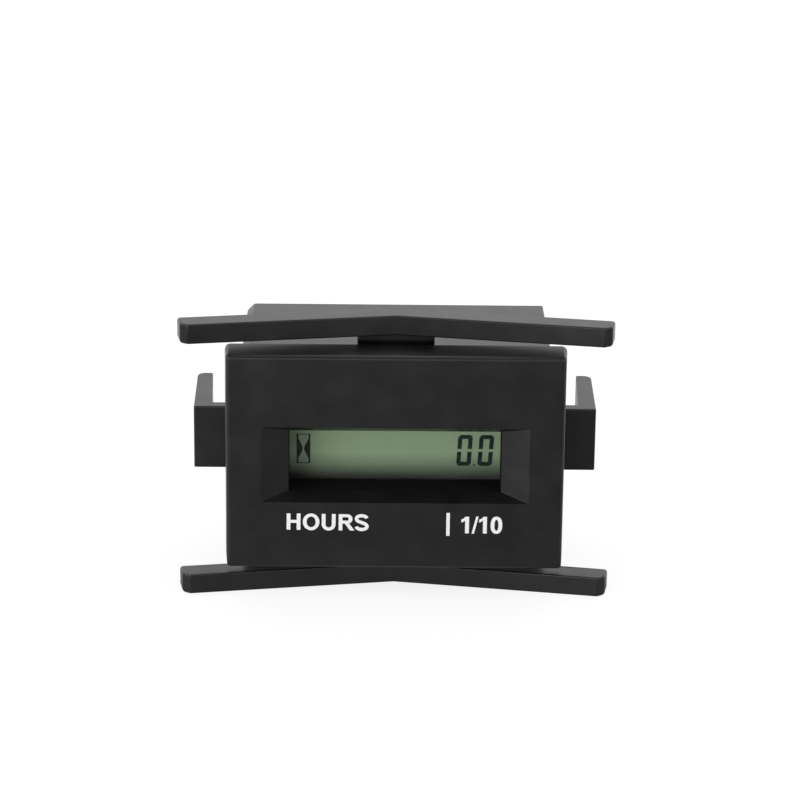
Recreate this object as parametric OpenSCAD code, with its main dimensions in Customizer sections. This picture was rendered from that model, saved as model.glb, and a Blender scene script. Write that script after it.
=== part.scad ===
// Panel-mounted hour meter with a liquid crystal display and a slide-on spring clip.
// Millimetres. Origin: centre of the bezel's back face, where the panel lies.
// +X to the right of the dial, +Y back through the panel, +Z up.

/* [Panel cut-out] */
// Width of the hole in the panel
cutout_w = 36.8; // [36.4:0.1:38.4]
// Height of the hole in the panel
cutout_h = 24.1; // [23.7:0.1:25.5]
// Gap between the body and each edge of the hole
cutout_gap = 0.2; // [0.1:0.05:0.3]

/* [Bezel] */
// Width of the bezel at the panel
bezel_w = 45; // [44:0.5:50]
// Height of the bezel at the panel
bezel_h = 30; // [29:0.5:34]
// Thickness of the bezel in front of the panel
bezel_t = 4.5; // [4:0.1:6]
// Draft of the bezel's sides, from back to front
bezel_draft = 0.35; // [0.1:0.05:0.4]
// Corner radius of the bezel at the panel
bezel_corner = 0.8; // [0.8:0.1:3]
// Width of the softened edge round the front face
front_edge = 0.35; // [0.2:0.05:0.4]
// Thickness of the front wall
front_wall = 1.8; // [1.4:0.1:2.4]
// Width of the rim that rests on the panel
seat_rim = 1.6; // [1.2:0.1:2]

/* [Body] */
// Length of the body behind the panel
body_l = 27.5; // [26:0.5:40]
// Wall of the body
body_wall = 1.6; // [1.4:0.1:1.8]
// Chamfer of the keyed corner
key_chamfer = 1; // [0.6:0.1:1.2]
// Corner radius inside the body
cavity_corner = 0.6; // [0.3:0.1:1]

/* [Window] */
// Width of the window in the front face
window_w = 35.3; // [33:0.1:37]
// Height of the window in the front face
window_h = 10.4; // [9.6:0.1:12]
// Width of the visible display
view_w = 28.1; // [25:0.1:28.4]
// Height of the visible display
view_h = 8.4; // [7.4:0.1:9]
// Distance of the window's centre below the bezel's centre
window_drop = 0.3; // [0:0.05:0.8]
// Depth of the bevel round the window
bevel_depth = 1.9; // [1.4:0.1:2.6]
// Length of the dark tunnel behind the bevel
tunnel_l = 4.3; // [3.6:0.1:5.2]

/* [Display] */
// Thickness of the clear lens
lens_t = 1; // [0.8:0.1:1.5]
// Lap of the lens above and below the visible display
lens_lap = 1.6; // [1.2:0.1:1.8]
// Thickness of each polarizer film
film_t = 0.2; // [0.15:0.05:0.3]
// Lap of the films above and below the visible display
film_lap = 1.1; // [0.8:0.1:1.3]
// Thickness of each display glass
glass_t = 0.7; // [0.5:0.1:1.1]
// Lap of the rear glass above and below the visible display
glass_lap = 1.5; // [1.3:0.1:1.8]
// Wall of the holder beside the glass
holder_wall = 0.6; // [0.4:0.1:0.8]
// Width of the contact ledge on the front glass
ledge_w = 2; // [1.8:0.1:2.2]
// Thickness of the contact strips
strip_t = 1.6; // [1.2:0.1:1.7]
// Height of the contact strips, from glass to board
strip_h = 4.3; // [3.5:0.1:6]

/* [Board] */
// Thickness of the circuit board
board_t = 1.2; // [0.8:0.1:1.6]
// Diameter of the coin cell
cell_d = 10; // [8:0.5:11.5]
// Thickness of the coin cell
cell_t = 2.5; // [1.6:0.1:3.2]
// Diameter of the electrolytic capacitor
can_d = 4; // [3:0.1:4.4]
// Height of the electrolytic capacitor
can_h = 7; // [5:0.5:11]

/* [Rear] */
// Thickness of the rear cover's plate
cover_t = 1.2; // [1:0.1:2]
// Depth of the cover's plug inside the body
plug_l = 3; // [2:0.1:4]
// Width of the blade terminals
blade_w = 6.3; // [4.8:0.1:6.3]
// Thickness of the blade terminals
blade_t = 0.8; // [0.5:0.1:0.8]
// Length of the blades behind the cover
blade_l = 7.9; // [6:0.1:9]
// Distance between the two blades
blade_pitch = 16; // [15:0.1:16]

/* [Clip] */
// Sliding gap between sleeve and body
clip_gap = 0.2; // [0.1:0.05:0.3]
// Wall of the sleeve
sleeve_wall = 2; // [1.6:0.1:2.4]
// Distance of the sleeve behind the bezel
sleeve_set = 2.2; // [2.1:0.1:3]
// Length of the sleeve
sleeve_l = 20; // [18:0.1:24]
// Chamfer of the sleeve's keyed edge
sleeve_chamfer = 1; // [0.6:0.1:1.4]

/* [Clip wings] */
// Span of the wings from tip to tip
wing_span = 57.3; // [52:0.1:64]
// Height of a wing bar
wing_h = 2.7; // [2.2:0.1:3.6]
// Thickness of a wing bar
wing_t = 3.6; // [3:0.1:4.4]
// Angle by which the wings sweep forward
wing_sweep = 10.3; // [8:0.1:12]
// Distance of the wings' middle behind the panel plane
wing_set = 0.8; // [0.5:0.1:2]
// Gap between the wings and the bezel's edge
wing_gap = 1; // [0.6:0.1:1.6]
// Corner radius at the wing tips
wing_corner = 0.4; // [0.3:0.1:1]
// Chamfer of the wing tips where they press on the panel
tip_chamfer = 0.9; // [0.4:0.1:1.4]
// Width of the neck that joins a wing to the sleeve
neck_w = 10.2; // [8:0.1:14]
// Depth of that neck
neck_l = 1.3; // [1:0.1:1.4]

/* [Clip levers] */
// Height of a release lever
lever_h = 8.7; // [7:0.1:10]
// Reach of a lever beside the sleeve
lever_reach = 6.6; // [5:0.1:8]
// Distance of a lever behind the sleeve's front edge
lever_set = 3.7; // [3:0.1:6]
// Thickness of the lever's arm
lever_arm_t = 1.9; // [1.5:0.1:2.4]
// Thickness of the lever's finger plate at its front
lever_plate_t = 2.4; // [1.8:0.1:3]
// Thickness of the finger plate at its free end
lever_end_t = 2.1; // [1.5:0.1:2.4]
// Length of the lever's finger plate
lever_plate_l = 15; // [10:0.1:18]
// Angle by which the finger plate leans outwards
lever_splay = 1; // [0:0.1:4]
// Length of the flexible tongue that carries a lever
tongue_l = 14; // [10:0.5:16]
// Width of the slots beside the tongue
tongue_slot = 0.8; // [0.6:0.1:1.2]

/* [Ratchet] */
// Pitch of the ratchet teeth on the body
tooth_pitch = 1.2; // [1:0.1:1.8]
// Depth of the ratchet teeth
tooth_depth = 0.4; // [0.3:0.05:0.5]
// Height of the ratchet track
track_h = 5; // [4:0.1:6]
// Depth of the track's crests below the body's side
track_drop = 0.3; // [0.2:0.05:0.4]
// Gap between the clip's pawl and the crests
pawl_gap = 0.1; // [0.05:0.05:0.15]

/* [Hidden] */
$fn = 48;
// Overshoot of cuts and of joined solids
cut = 0.5;
// Assembly gap beside pieces that are dropped into a pocket
drop_gap = 0.1;
// Gap between the inner pieces and the cavity's walls
cavity_gap = 0.15;

// Body and bezel
body_w = cutout_w - 2 * cutout_gap;
body_h = cutout_h - 2 * cutout_gap;
cavity_w = body_w - 2 * body_wall;
cavity_h = body_h - 2 * body_wall;
front_y = -bezel_t;
side_draft = bezel_draft * (bezel_t - front_edge) / bezel_t;
groove_floor = 2.2;
groove_corner = 0.6;
core_side = 1;
core_rib = 1.2;

// Window and display, front to back
window_z = -window_drop;
bevel_y = front_y + bevel_depth;
lens_y = bevel_y + tunnel_l;
cavity_y = lens_y + lens_t;
film_y = cavity_y + drop_gap;
front_glass_y = film_y + film_t;
rear_glass_y = front_glass_y + glass_t;
reflector_y = rear_glass_y + glass_t;
board_y = rear_glass_y + strip_h;
board_back = board_y + board_t;
holder_w = cavity_w - 2 * cavity_gap;
holder_h = cavity_h - 2 * cavity_gap;
glass_w = holder_w - 2 * (holder_wall + drop_gap);
film_w = (view_w + glass_w) / 2;
lens_w = (view_w + cavity_w) / 2;
lens_h = view_h + 2 * lens_lap;
film_h = view_h + 2 * film_lap;
rear_glass_h = view_h + 2 * glass_lap;
front_glass_h = rear_glass_h + 2 * ledge_w;
strip_set = 2.25;
strip_z = (rear_glass_h + ledge_w) / 2;
strip_l = glass_w - 2 * strip_set;

// Board and the holder's pegs
board_set = 0.2;
board_w = holder_w - 2 * board_set;
board_h = holder_h - 2 * board_set;
peg_d = 1.4;
peg_head_d = 2.4;
peg_head_t = 0.6;
peg_inset = 1.1;
peg_x = board_w / 2 - peg_inset;
peg_z = board_h / 2 - peg_inset;

// Rear cover and terminals
cover_y = body_l;
cover_back = cover_y + cover_t;
plug_wall = 1.2;
blade_gap = 0.1;
collar_h = 1.5;
collar_wall = 1.3;
pillar_t = 1.6;
pillar_h = 4;
pillar_x = cavity_w / 2 - cavity_gap - pillar_t / 2;
shoulder_t = 2;
shoulder_out = 0.9;
tail_step = 0.15;
tail_z = blade_w / 2 + tail_step;
tail_w = 1.8;
blade_hole_d = 1.65;
blade_tip = 1;

// Parts on the back of the board, set out from its edges, the pegs and the cover's pillars
part_gap = 0.3;
side_x = pillar_x - pillar_t / 2 - part_gap;
end_z = board_h / 2 - part_gap;
corner_z = peg_z - peg_head_d / 2 - part_gap;
tab_t = 0.2;
tab_w = 3;
tab_foot = 1.6;
tab_gap = 0.4;
cell_x = cell_d / 2 - side_x;
cell_z = cell_d / 2 - end_z;
cell_y = board_back + tab_t;
leg_x = cell_x + cell_d / 2 + tab_gap;
diode_w = 2.7;
diode_h = 1.6;
diode_t = 1.1;
diode_x = side_x - diode_w / 2;
chip_w = 6;
lead_l = 0.8;
chip_half = chip_w / 2 + lead_l;
chip_x = diode_x - diode_w / 2 - part_gap - chip_half;
chip_z = chip_half - end_z;
crystal_d = 2.1;
crystal_z = chip_z + chip_half + part_gap + crystal_d / 2;
can_x = pillar_x - can_d / 2;
can_z = pillar_h / 2 + part_gap + can_d / 2;
film_box_w = 9;
film_box_h = 4.2;
film_box_z = end_z - film_box_h / 2;
resistor_w = 3.2;
resistor_h = 1.6;
resistor_z = film_box_z - film_box_h / 2 - part_gap - resistor_h / 2;

// Clip
sleeve_in_w = body_w + 2 * clip_gap;
sleeve_in_h = body_h + 2 * clip_gap;
sleeve_w = sleeve_in_w + 2 * sleeve_wall;
sleeve_h = sleeve_in_h + 2 * sleeve_wall;
sleeve_y = sleeve_set;
sleeve_back = sleeve_y + sleeve_l;
wing_z = bezel_h / 2 + wing_gap;
arm_l = (wing_span / 2 - wing_t * sin(wing_sweep)) / cos(wing_sweep);
lever_y = sleeve_y + lever_set;
lever_x = sleeve_w / 2 + lever_reach;
lever_corner = 1.2;

// Ratchet
track_y = 0.3;
teeth_set = 3;
teeth_y = track_y + teeth_set;
teeth_end = 1;
tooth_land = 0.1;
tooth_flank = 0.25;
pawl_set = 0.3;
pawl_y = sleeve_y + pawl_set;
pawl_l = 1.3;
pawl_ramp = 1;
pawl_side = 0.3;

// Block with its centre line along Y, from y0 to y1, at x and z
module slab(w, h, y0, y1, x = 0, z = 0) {
    translate([x - w / 2, y0, z - h / 2])
        cube([w, y1 - y0, h]);
}

// Flat outline in X and Z, carried along Y from y0 to y1
module along_y(y0, y1) {
    translate([0, y1, 0])
        rotate([90, 0, 0])
            linear_extrude(y1 - y0)
                children();
}

// Flat outline in Y and Z, carried along X over a centred length
module along_x(l) {
    translate([-l / 2, 0, 0])
        rotate([90, 0, 90])
            linear_extrude(l)
                children();
}

// Rectangle with round corners
module rounded_rect(w, h, r) {
    square([w - 2 * r, h], center = true);
    square([w, h - 2 * r], center = true);
    for (x = [-1, 1], z = [-1, 1])
        translate([x * (w / 2 - r), z * (h / 2 - r)])
            circle(r);
}

// Rectangle whose upper left corner is chamfered, which keys the clip to the body
module keyed_rect(w, h, k) {
    polygon([
        [-w / 2 + k, h / 2], [w / 2, h / 2], [w / 2, -h / 2], [-w / 2, -h / 2], [-w / 2, h / 2 - k]
    ]);
}

// Block with drafted sides and conical corners, w by h at y_back and smaller by the draft at y_front
module drafted_block(w, h, r, draft, y_back, y_front) {
    along_x(w - 2 * r)
        polygon([
            [y_back, -h / 2], [y_back, h / 2], [y_front, h / 2 - draft], [y_front, draft - h / 2]
        ]);
    linear_extrude(h - 2 * r, center = true)
        polygon([
            [-w / 2, y_back], [w / 2, y_back], [w / 2 - draft, y_front], [draft - w / 2, y_front]
        ]);
    for (x = [-1, 1], z = [-1, 1])
        translate([x * (w / 2 - r), y_back, z * (h / 2 - r)])
            rotate([90, 0, 0])
                cylinder(h = y_back - y_front, r1 = r, r2 = r - draft);
}

// Bezel with drafted sides and a softened front edge
module bezel() {
    edge_y = front_y + front_edge;
    drafted_block(bezel_w, bezel_h, bezel_corner, side_draft, 0, edge_y);
    drafted_block(
        bezel_w - 2 * side_draft, bezel_h - 2 * side_draft, bezel_corner - side_draft,
        front_edge, edge_y, front_y
    );
}

// Bevelled window and the tunnel behind it
module window_cut() {
    lead = cut / bevel_depth;
    out_w = window_w + (window_w - view_w) * lead;
    out_h = window_h + (window_h - view_h) * lead;
    translate([0, 0, window_z])
        intersection() {
            along_x(2 * bezel_w)
                polygon([
                    [front_y - cut, -out_h / 2], [front_y - cut, out_h / 2],
                    [bevel_y, view_h / 2], [bevel_y, -view_h / 2]
                ]);
            linear_extrude(2 * bezel_h, center = true)
                polygon([
                    [-out_w / 2, front_y - cut], [out_w / 2, front_y - cut],
                    [view_w / 2, bevel_y], [-view_w / 2, bevel_y]
                ]);
        }
    slab(view_w, view_h, front_y, lens_y + cut, z = window_z);
    slab(lens_w + 2 * drop_gap, lens_h + 2 * drop_gap, lens_y, cavity_y + cut, z = window_z);
}

// Hollows above and below the window, which keep the front wall even
module core_cut() {
    core_w = cavity_w - 2 * core_side;
    core_gap = lens_h / 2 + drop_gap + core_rib;
    upper = cavity_h / 2 - (window_z + core_gap);
    lower = cavity_h / 2 + (window_z - core_gap);
    slab(core_w, upper, front_y + front_wall, cavity_y + cut, z = cavity_h / 2 - upper / 2);
    slab(core_w, lower, front_y + front_wall, cavity_y + cut, z = lower / 2 - cavity_h / 2);
}

// Groove behind the flange, which leaves a rim that rests on the panel
module flange_groove() {
    groove_w = bezel_w - 2 * seat_rim;
    groove_h = bezel_h - 2 * seat_rim;
    difference() {
        along_y(front_y + groove_floor, cut)
            rounded_rect(groove_w, groove_h, groove_corner);
        along_y(front_y, 2 * cut)
            keyed_rect(body_w, body_h, key_chamfer);
    }
}

// Ratchet track in one side of the body: a shallow groove with sawtooth valleys
module ratchet_track() {
    crest_x = body_w / 2 - track_drop;
    count = floor((body_l - teeth_end - teeth_y) / tooth_pitch);
    slab(2 * track_drop, track_h, track_y, body_l + cover_t + cut, x = body_w / 2);
    linear_extrude(track_h, center = true)
        for (i = [0 : count - 1])
            translate([crest_x, teeth_y + i * tooth_pitch])
                polygon([
                    [tooth_land, 0], [0, 0], [-tooth_depth, tooth_flank],
                    [0, tooth_pitch - tooth_land], [tooth_land, tooth_pitch - tooth_land]
                ]);
}

// Both ratchet tracks
module ratchet_tracks() {
    ratchet_track();
    mirror([1, 0, 0])
        ratchet_track();
}

module housing() {
    color([0.045, 0.045, 0.047])
        difference() {
            union() {
                bezel();
                along_y(-cut, body_l)
                    keyed_rect(body_w, body_h, key_chamfer);
            }
            window_cut();
            core_cut();
            flange_groove();
            along_y(cavity_y, body_l + cut)
                rounded_rect(cavity_w, cavity_h, cavity_corner);
            ratchet_tracks();
        }
}

module lens() {
    color([0.8, 0.85, 0.82, 0.4])
        slab(lens_w, lens_h, lens_y, cavity_y, z = window_z);
}

module front_polarizer() {
    color([0.45, 0.56, 0.42])
        slab(film_w, film_h, film_y, front_glass_y, z = window_z);
}

module lcd_front_glass() {
    color([0.75, 0.82, 0.78, 0.5])
        slab(glass_w, front_glass_h, front_glass_y, rear_glass_y, z = window_z);
}

module lcd_rear_glass() {
    color([0.7, 0.8, 0.75, 0.5])
        slab(glass_w, rear_glass_h, rear_glass_y, reflector_y, z = window_z);
}

module rear_polarizer() {
    color([0.6, 0.62, 0.6])
        slab(film_w, film_h, reflector_y, reflector_y + film_t, z = window_z);
}

// Tray for the display's glass, with slots for the contact strips and pegs riveted over the board
module lcd_holder() {
    pocket_y = reflector_y + film_t + drop_gap;
    color([0.12, 0.12, 0.12]) {
        difference() {
            along_y(film_y, board_y)
                rounded_rect(holder_w, holder_h, cavity_corner);
            slab(glass_w + 2 * drop_gap, front_glass_h + 2 * drop_gap, film_y - cut, rear_glass_y,
                z = window_z);
            slab(glass_w + 2 * drop_gap, rear_glass_h + 2 * drop_gap, film_y - cut, pocket_y,
                z = window_z);
            for (side = [-1, 1])
                slab(strip_l + 2 * drop_gap, strip_t + 2 * drop_gap, film_y - cut, board_y + cut,
                    z = window_z + side * strip_z);
        }
        for (x = [-1, 1], z = [-1, 1])
            translate([x * peg_x, 0, z * peg_z])
                rotate([-90, 0, 0]) {
                    translate([0, 0, board_y - cut])
                        cylinder(h = cut + board_t + cut, d = peg_d);
                    translate([0, 0, board_back])
                        cylinder(h = peg_head_t, d = peg_head_d);
                }
    }
}

// Conductive rubber strip between the front glass's ledge and the board
module contact_strip(side) {
    color([0.3, 0.3, 0.32])
        slab(strip_l, strip_t, rear_glass_y, board_y, z = window_z + side * strip_z);
}

module upper_contact_strip() {
    contact_strip(1);
}

module lower_contact_strip() {
    contact_strip(-1);
}

module circuit_board() {
    color([0.1, 0.35, 0.2])
        difference() {
            slab(board_w, board_h, board_y, board_back);
            for (x = [-1, 1], z = [-1, 1])
                translate([x * peg_x, board_y - cut, z * peg_z])
                    rotate([-90, 0, 0])
                        cylinder(h = board_t + 2 * cut, d = peg_d + 2 * drop_gap);
            for (x = [-1, 1])
                slab(blade_t + 2 * blade_gap, tail_w + 2 * blade_gap, board_y - cut, board_back + cut,
                    x = x * blade_pitch / 2, z = tail_z + tail_w / 2);
        }
}

// Flat chip package with leads on all four sides
module controller_chip() {
    chip_t = 1.3;
    stand = 0.1;
    lead_w = 0.35;
    lead_t = 0.2;
    lead_pitch = 0.8;
    lead_rows = 7;
    color([0.06, 0.06, 0.06])
        translate([chip_x, board_back, chip_z]) {
            slab(chip_w, chip_w, stand, chip_t);
            for (turn = [0 : 90 : 270])
                rotate([0, turn, 0])
                    for (i = [0 : lead_rows - 1])
                        slab(lead_w, lead_l + cut, 0, lead_t,
                            x = (i - (lead_rows - 1) / 2) * lead_pitch,
                            z = chip_w / 2 + (lead_l - cut) / 2);
        }
}

// Tubular watch crystal lying on the board, with its two wires
module quartz_crystal() {
    crystal_l = 6.2;
    wire_d = 0.3;
    wire_l = 1.1;
    wire_pitch = 0.7;
    color([0.75, 0.75, 0.77])
        translate([chip_x - chip_half, board_back + crystal_d / 2, crystal_z])
            rotate([0, 90, 0]) {
                cylinder(h = crystal_l, d = crystal_d);
                for (side = [-1, 1])
                    translate([side * wire_pitch / 2, 0, crystal_l - cut])
                        cylinder(h = wire_l + cut, d = wire_d);
            }
}

// Coin cell: a can with a smaller cap towards the board
module coin_cell() {
    cap_inset = 1.2;
    cap_t = 0.5;
    color([0.78, 0.78, 0.8])
        translate([cell_x, cell_y, cell_z])
            rotate([-90, 0, 0]) {
                cylinder(h = cell_t, d = cell_d - 2 * cap_inset);
                translate([0, 0, cap_t])
                    cylinder(h = cell_t - cap_t, d = cell_d);
            }
}

// Nickel strip over the cell's back and down to the board
module positive_cell_tab() {
    lap = 2.6;
    rim = 0.5;
    top_y = cell_y + cell_t;
    start_x = cell_x + cell_d / 2 - lap;
    foot_x = leg_x + tab_t + tab_foot;
    color([0.72, 0.72, 0.7])
        translate([0, 0, cell_z - cell_d / 2 + rim + tab_w / 2])
            linear_extrude(tab_w, center = true)
                polygon([
                    [start_x, top_y], [leg_x, top_y], [leg_x, board_back], [foot_x, board_back],
                    [foot_x, board_back + tab_t], [leg_x + tab_t, board_back + tab_t],
                    [leg_x + tab_t, top_y + tab_t], [start_x, top_y + tab_t]
                ]);
}

// Nickel strip between the cell's cap and the board
module negative_cell_tab() {
    raise = 1;
    end_x = leg_x + tab_t + tab_foot;
    color([0.72, 0.72, 0.7])
        slab(end_x - cell_x, tab_w, board_back, cell_y, x = (end_x + cell_x) / 2, z = cell_z + raise);
}

// Electrolytic can with a rolled groove near its foot
module electrolytic_capacitor() {
    bead_y = 1.4;
    bead_r = 0.25;
    color([0.12, 0.14, 0.2])
        translate([can_x, board_back, can_z])
            rotate([-90, 0, 0])
                difference() {
                    cylinder(h = can_h, d = can_d);
                    rotate_extrude()
                        translate([can_d / 2, bead_y])
                            circle(bead_r);
                }
}

module film_capacitor() {
    film_box_l = 7.5;
    color([0.75, 0.6, 0.15])
        slab(film_box_w, film_box_h, board_back, board_back + film_box_l, z = film_box_z);
}

// Four moulded diodes, two at the upper left and two at the lower right
module rectifier_diodes() {
    diode_pitch = diode_h + 2 * part_gap;
    color([0.08, 0.08, 0.08])
        for (side = [-1, 1], i = [0, 1])
            slab(diode_w, diode_h, board_back, board_back + diode_t, x = side * diode_x,
                z = side * (i * diode_pitch + diode_h / 2 - corner_z));
}

module chip_resistors() {
    resistor_t = 0.6;
    resistor_pitch = resistor_w + 2 * part_gap;
    color([0.1, 0.1, 0.12])
        for (i = [-1, 0, 1])
            slab(resistor_w, resistor_h, board_back, board_back + resistor_t,
                x = i * resistor_pitch, z = resistor_z);
}

// Ceramic capacitors below the terminals' tails
module chip_capacitors() {
    chip_cap_w = 2;
    chip_cap_h = 1.25;
    chip_cap_t = 0.8;
    first_x = can_x - can_d / 2 - part_gap - chip_cap_w / 2;
    second_x = first_x - chip_cap_w - 2 * part_gap;
    color([0.6, 0.48, 0.36])
        for (x = [first_x, second_x, -first_x])
            slab(chip_cap_w, chip_cap_h, board_back, board_back + chip_cap_t, x = x,
                z = tail_z - part_gap - chip_cap_h / 2);
}

// Stamped blade with shoulders behind the cover and a tail that is soldered to the board
module blade_terminal() {
    half = blade_w / 2;
    shoulder_y = cover_y - shoulder_t;
    tip_y = cover_back + blade_l;
    tail_top = tail_z + tail_w;
    color([0.8, 0.78, 0.7])
        difference() {
            along_x(blade_t)
                polygon([
                    [cover_y, -half], [tip_y - blade_tip, -half], [tip_y, blade_tip - half],
                    [tip_y, half - blade_tip], [tip_y - blade_tip, half], [cover_y, half],
                    [cover_y, tail_top], [board_y + drop_gap, tail_top], [board_y + drop_gap, tail_z],
                    [shoulder_y, tail_z], [shoulder_y, -half - shoulder_out],
                    [cover_y, -half - shoulder_out]
                ]);
            translate([0, cover_back + blade_l / 2, 0])
                rotate([0, 90, 0])
                    cylinder(h = blade_t + 2 * cut, d = blade_hole_d, center = true);
        }
}

module left_terminal() {
    translate([-blade_pitch / 2, 0, 0])
        blade_terminal();
}

module right_terminal() {
    translate([blade_pitch / 2, 0, 0])
        blade_terminal();
}

// Rear plate with a plug inside the body, collars round the blades and pillars behind the board
module rear_cover() {
    plug_w = cavity_w - 2 * cavity_gap;
    plug_h = cavity_h - 2 * cavity_gap;
    color([0.05, 0.05, 0.052])
        difference() {
            union() {
                along_y(cover_y, cover_back)
                    keyed_rect(body_w, body_h, key_chamfer);
                difference() {
                    along_y(cover_y - plug_l, cover_y + cover_t / 2)
                        rounded_rect(plug_w, plug_h, cavity_corner);
                    slab(plug_w - 2 * plug_wall, plug_h - 2 * plug_wall, cover_y - plug_l - cut, cover_y);
                }
                for (x = [-1, 1]) {
                    slab(pillar_t, pillar_h, board_back, cover_y + cover_t / 2, x = x * pillar_x);
                    slab(blade_t + 2 * collar_wall, blade_w + 2 * collar_wall,
                        cover_y + cover_t / 2, cover_back + collar_h, x = x * blade_pitch / 2);
                }
            }
            for (x = [-1, 1])
                slab(blade_t + 2 * blade_gap, blade_w + 2 * blade_gap, cover_y - cut,
                    cover_back + collar_h + cut, x = x * blade_pitch / 2);
            ratchet_tracks();
        }
}

// Sleeve that slides on the body, slotted beside the tongues that carry the levers
module clip_sleeve() {
    slot_z = lever_h / 2 + tongue_slot / 2;
    difference() {
        along_y(sleeve_y, sleeve_back)
            keyed_rect(sleeve_w, sleeve_h, sleeve_chamfer);
        along_y(sleeve_y - cut, sleeve_back + cut)
            keyed_rect(sleeve_in_w, sleeve_in_h, key_chamfer);
        for (x = [-1, 1], z = [-1, 1])
            slab(2 * sleeve_wall + 2 * cut, tongue_slot, sleeve_y - cut, sleeve_y + tongue_l,
                x = x * sleeve_w / 2, z = z * slot_z);
    }
}

// Plan of a wing bar: two arms that sweep forward from the middle, with a chamfer on each front corner
module wing_plan() {
    along = [cos(wing_sweep), -sin(wing_sweep)];
    across = [sin(wing_sweep), cos(wing_sweep)];
    front = [0, wing_set] + (arm_l - tip_chamfer) * along;
    side = [0, wing_set] + arm_l * along + tip_chamfer * across;
    back = [0, wing_set] + arm_l * along + wing_t * across;
    polygon([
        [0, wing_set], front, side, back, [0, wing_set + wing_t / cos(wing_sweep)],
        [-back[0], back[1]], [-side[0], side[1]], [-front[0], front[1]]
    ]);
}

// Cutter that rounds the lower and upper corner of the right wing tip
module wing_tip_cut() {
    translate([0, wing_set, 0])
        rotate([0, 0, -wing_sweep])
            along_y(-cut, wing_t + cut)
                for (edge = [0, 1])
                    translate([arm_l - wing_corner, wing_h / 2])
                        mirror([0, edge])
                            translate([0, wing_h / 2 - wing_corner])
                                difference() {
                                    square(wing_corner + cut);
                                    circle(wing_corner);
                                }
}

// Wing bar above the bezel and the neck that carries it
module clip_wing() {
    neck_h = wing_z - sleeve_h / 2 + 2 * cut;
    translate([0, 0, wing_z])
        difference() {
            linear_extrude(wing_h)
                wing_plan();
            wing_tip_cut();
            mirror([1, 0, 0])
                wing_tip_cut();
        }
    slab(neck_w, neck_h, sleeve_y, sleeve_y + neck_l, z = wing_z + cut - neck_h / 2);
}

// Plan of the finger plate, which thins towards its free end and has a round outer corner there
module finger_plate() {
    difference() {
        polygon([
            [-lever_plate_t, 0], [0, 0], [0, lever_plate_l], [-lever_end_t, lever_plate_l]
        ]);
        translate([-lever_corner, lever_plate_l - lever_corner])
            difference() {
                square(lever_corner + cut);
                circle(lever_corner);
            }
    }
}

// Release lever on the right side: an arm, a finger plate and the pawl on its tongue
module clip_lever() {
    arm_x = sleeve_w / 2 - cut;
    pawl_in = clip_gap + track_drop - pawl_gap;
    wall_x = sleeve_in_w / 2;
    linear_extrude(lever_h, center = true) {
        translate([arm_x, lever_y])
            square([lever_x - arm_x, lever_arm_t]);
        translate([lever_x, lever_y])
            rotate(-lever_splay)
                finger_plate();
    }
    linear_extrude(track_h - 2 * pawl_side, center = true)
        polygon([
            [wall_x + cut, pawl_y], [wall_x, pawl_y], [wall_x - pawl_in, pawl_y + pawl_ramp],
            [wall_x - pawl_in, pawl_y + pawl_l], [wall_x + cut, pawl_y + pawl_l]
        ]);
}

module mounting_clip() {
    color([0.05, 0.05, 0.052]) {
        clip_sleeve();
        for (side = [0, 1]) {
            mirror([0, 0, side])
                clip_wing();
            mirror([side, 0, 0])
                clip_lever();
        }
    }
}

housing();
lens();
front_polarizer();
lcd_front_glass();
lcd_rear_glass();
rear_polarizer();
lcd_holder();
upper_contact_strip();
lower_contact_strip();
circuit_board();
controller_chip();
quartz_crystal();
coin_cell();
positive_cell_tab();
negative_cell_tab();
electrolytic_capacitor();
film_capacitor();
rectifier_diodes();
chip_resistors();
chip_capacitors();
left_terminal();
right_terminal();
rear_cover();
mounting_clip();
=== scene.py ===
# %% [markdown]
# Hour meter
#
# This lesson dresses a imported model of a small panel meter: a black bezel with a recessed display, a body
# behind it, and a spring clip that slides on the body. Every object is in metres, in the model's own frame:
# X runs to the right of the dial, Y goes back through the panel and Z is up. The solids are loaded first and
# stay where they are, so each new piece takes its place from them and nothing is fitted by eye afterwards.

# %% Load the model and keep its box
import math

import bmesh
import bpy
import numpy as np
from mathutils import Matrix, Vector


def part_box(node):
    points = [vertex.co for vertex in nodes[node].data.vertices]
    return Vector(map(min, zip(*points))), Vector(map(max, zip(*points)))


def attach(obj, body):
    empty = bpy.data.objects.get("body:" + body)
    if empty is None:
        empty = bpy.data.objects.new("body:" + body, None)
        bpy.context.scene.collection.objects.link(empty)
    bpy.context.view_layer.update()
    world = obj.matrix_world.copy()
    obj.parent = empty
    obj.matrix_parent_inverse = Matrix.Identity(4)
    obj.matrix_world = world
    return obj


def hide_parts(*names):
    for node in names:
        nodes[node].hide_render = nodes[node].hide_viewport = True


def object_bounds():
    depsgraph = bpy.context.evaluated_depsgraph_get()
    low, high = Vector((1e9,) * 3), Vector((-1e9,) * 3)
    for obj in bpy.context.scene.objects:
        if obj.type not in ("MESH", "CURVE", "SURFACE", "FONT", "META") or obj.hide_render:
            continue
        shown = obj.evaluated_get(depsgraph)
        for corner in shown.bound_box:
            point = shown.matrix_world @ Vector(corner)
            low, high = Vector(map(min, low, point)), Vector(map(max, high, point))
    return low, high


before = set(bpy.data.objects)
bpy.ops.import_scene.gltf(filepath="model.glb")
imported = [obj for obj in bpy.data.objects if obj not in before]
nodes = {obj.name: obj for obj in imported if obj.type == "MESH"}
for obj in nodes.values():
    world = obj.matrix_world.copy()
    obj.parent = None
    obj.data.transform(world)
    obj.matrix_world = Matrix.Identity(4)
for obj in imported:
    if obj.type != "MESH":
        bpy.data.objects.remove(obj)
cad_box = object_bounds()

MM = 0.001
scene = bpy.context.scene

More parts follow.
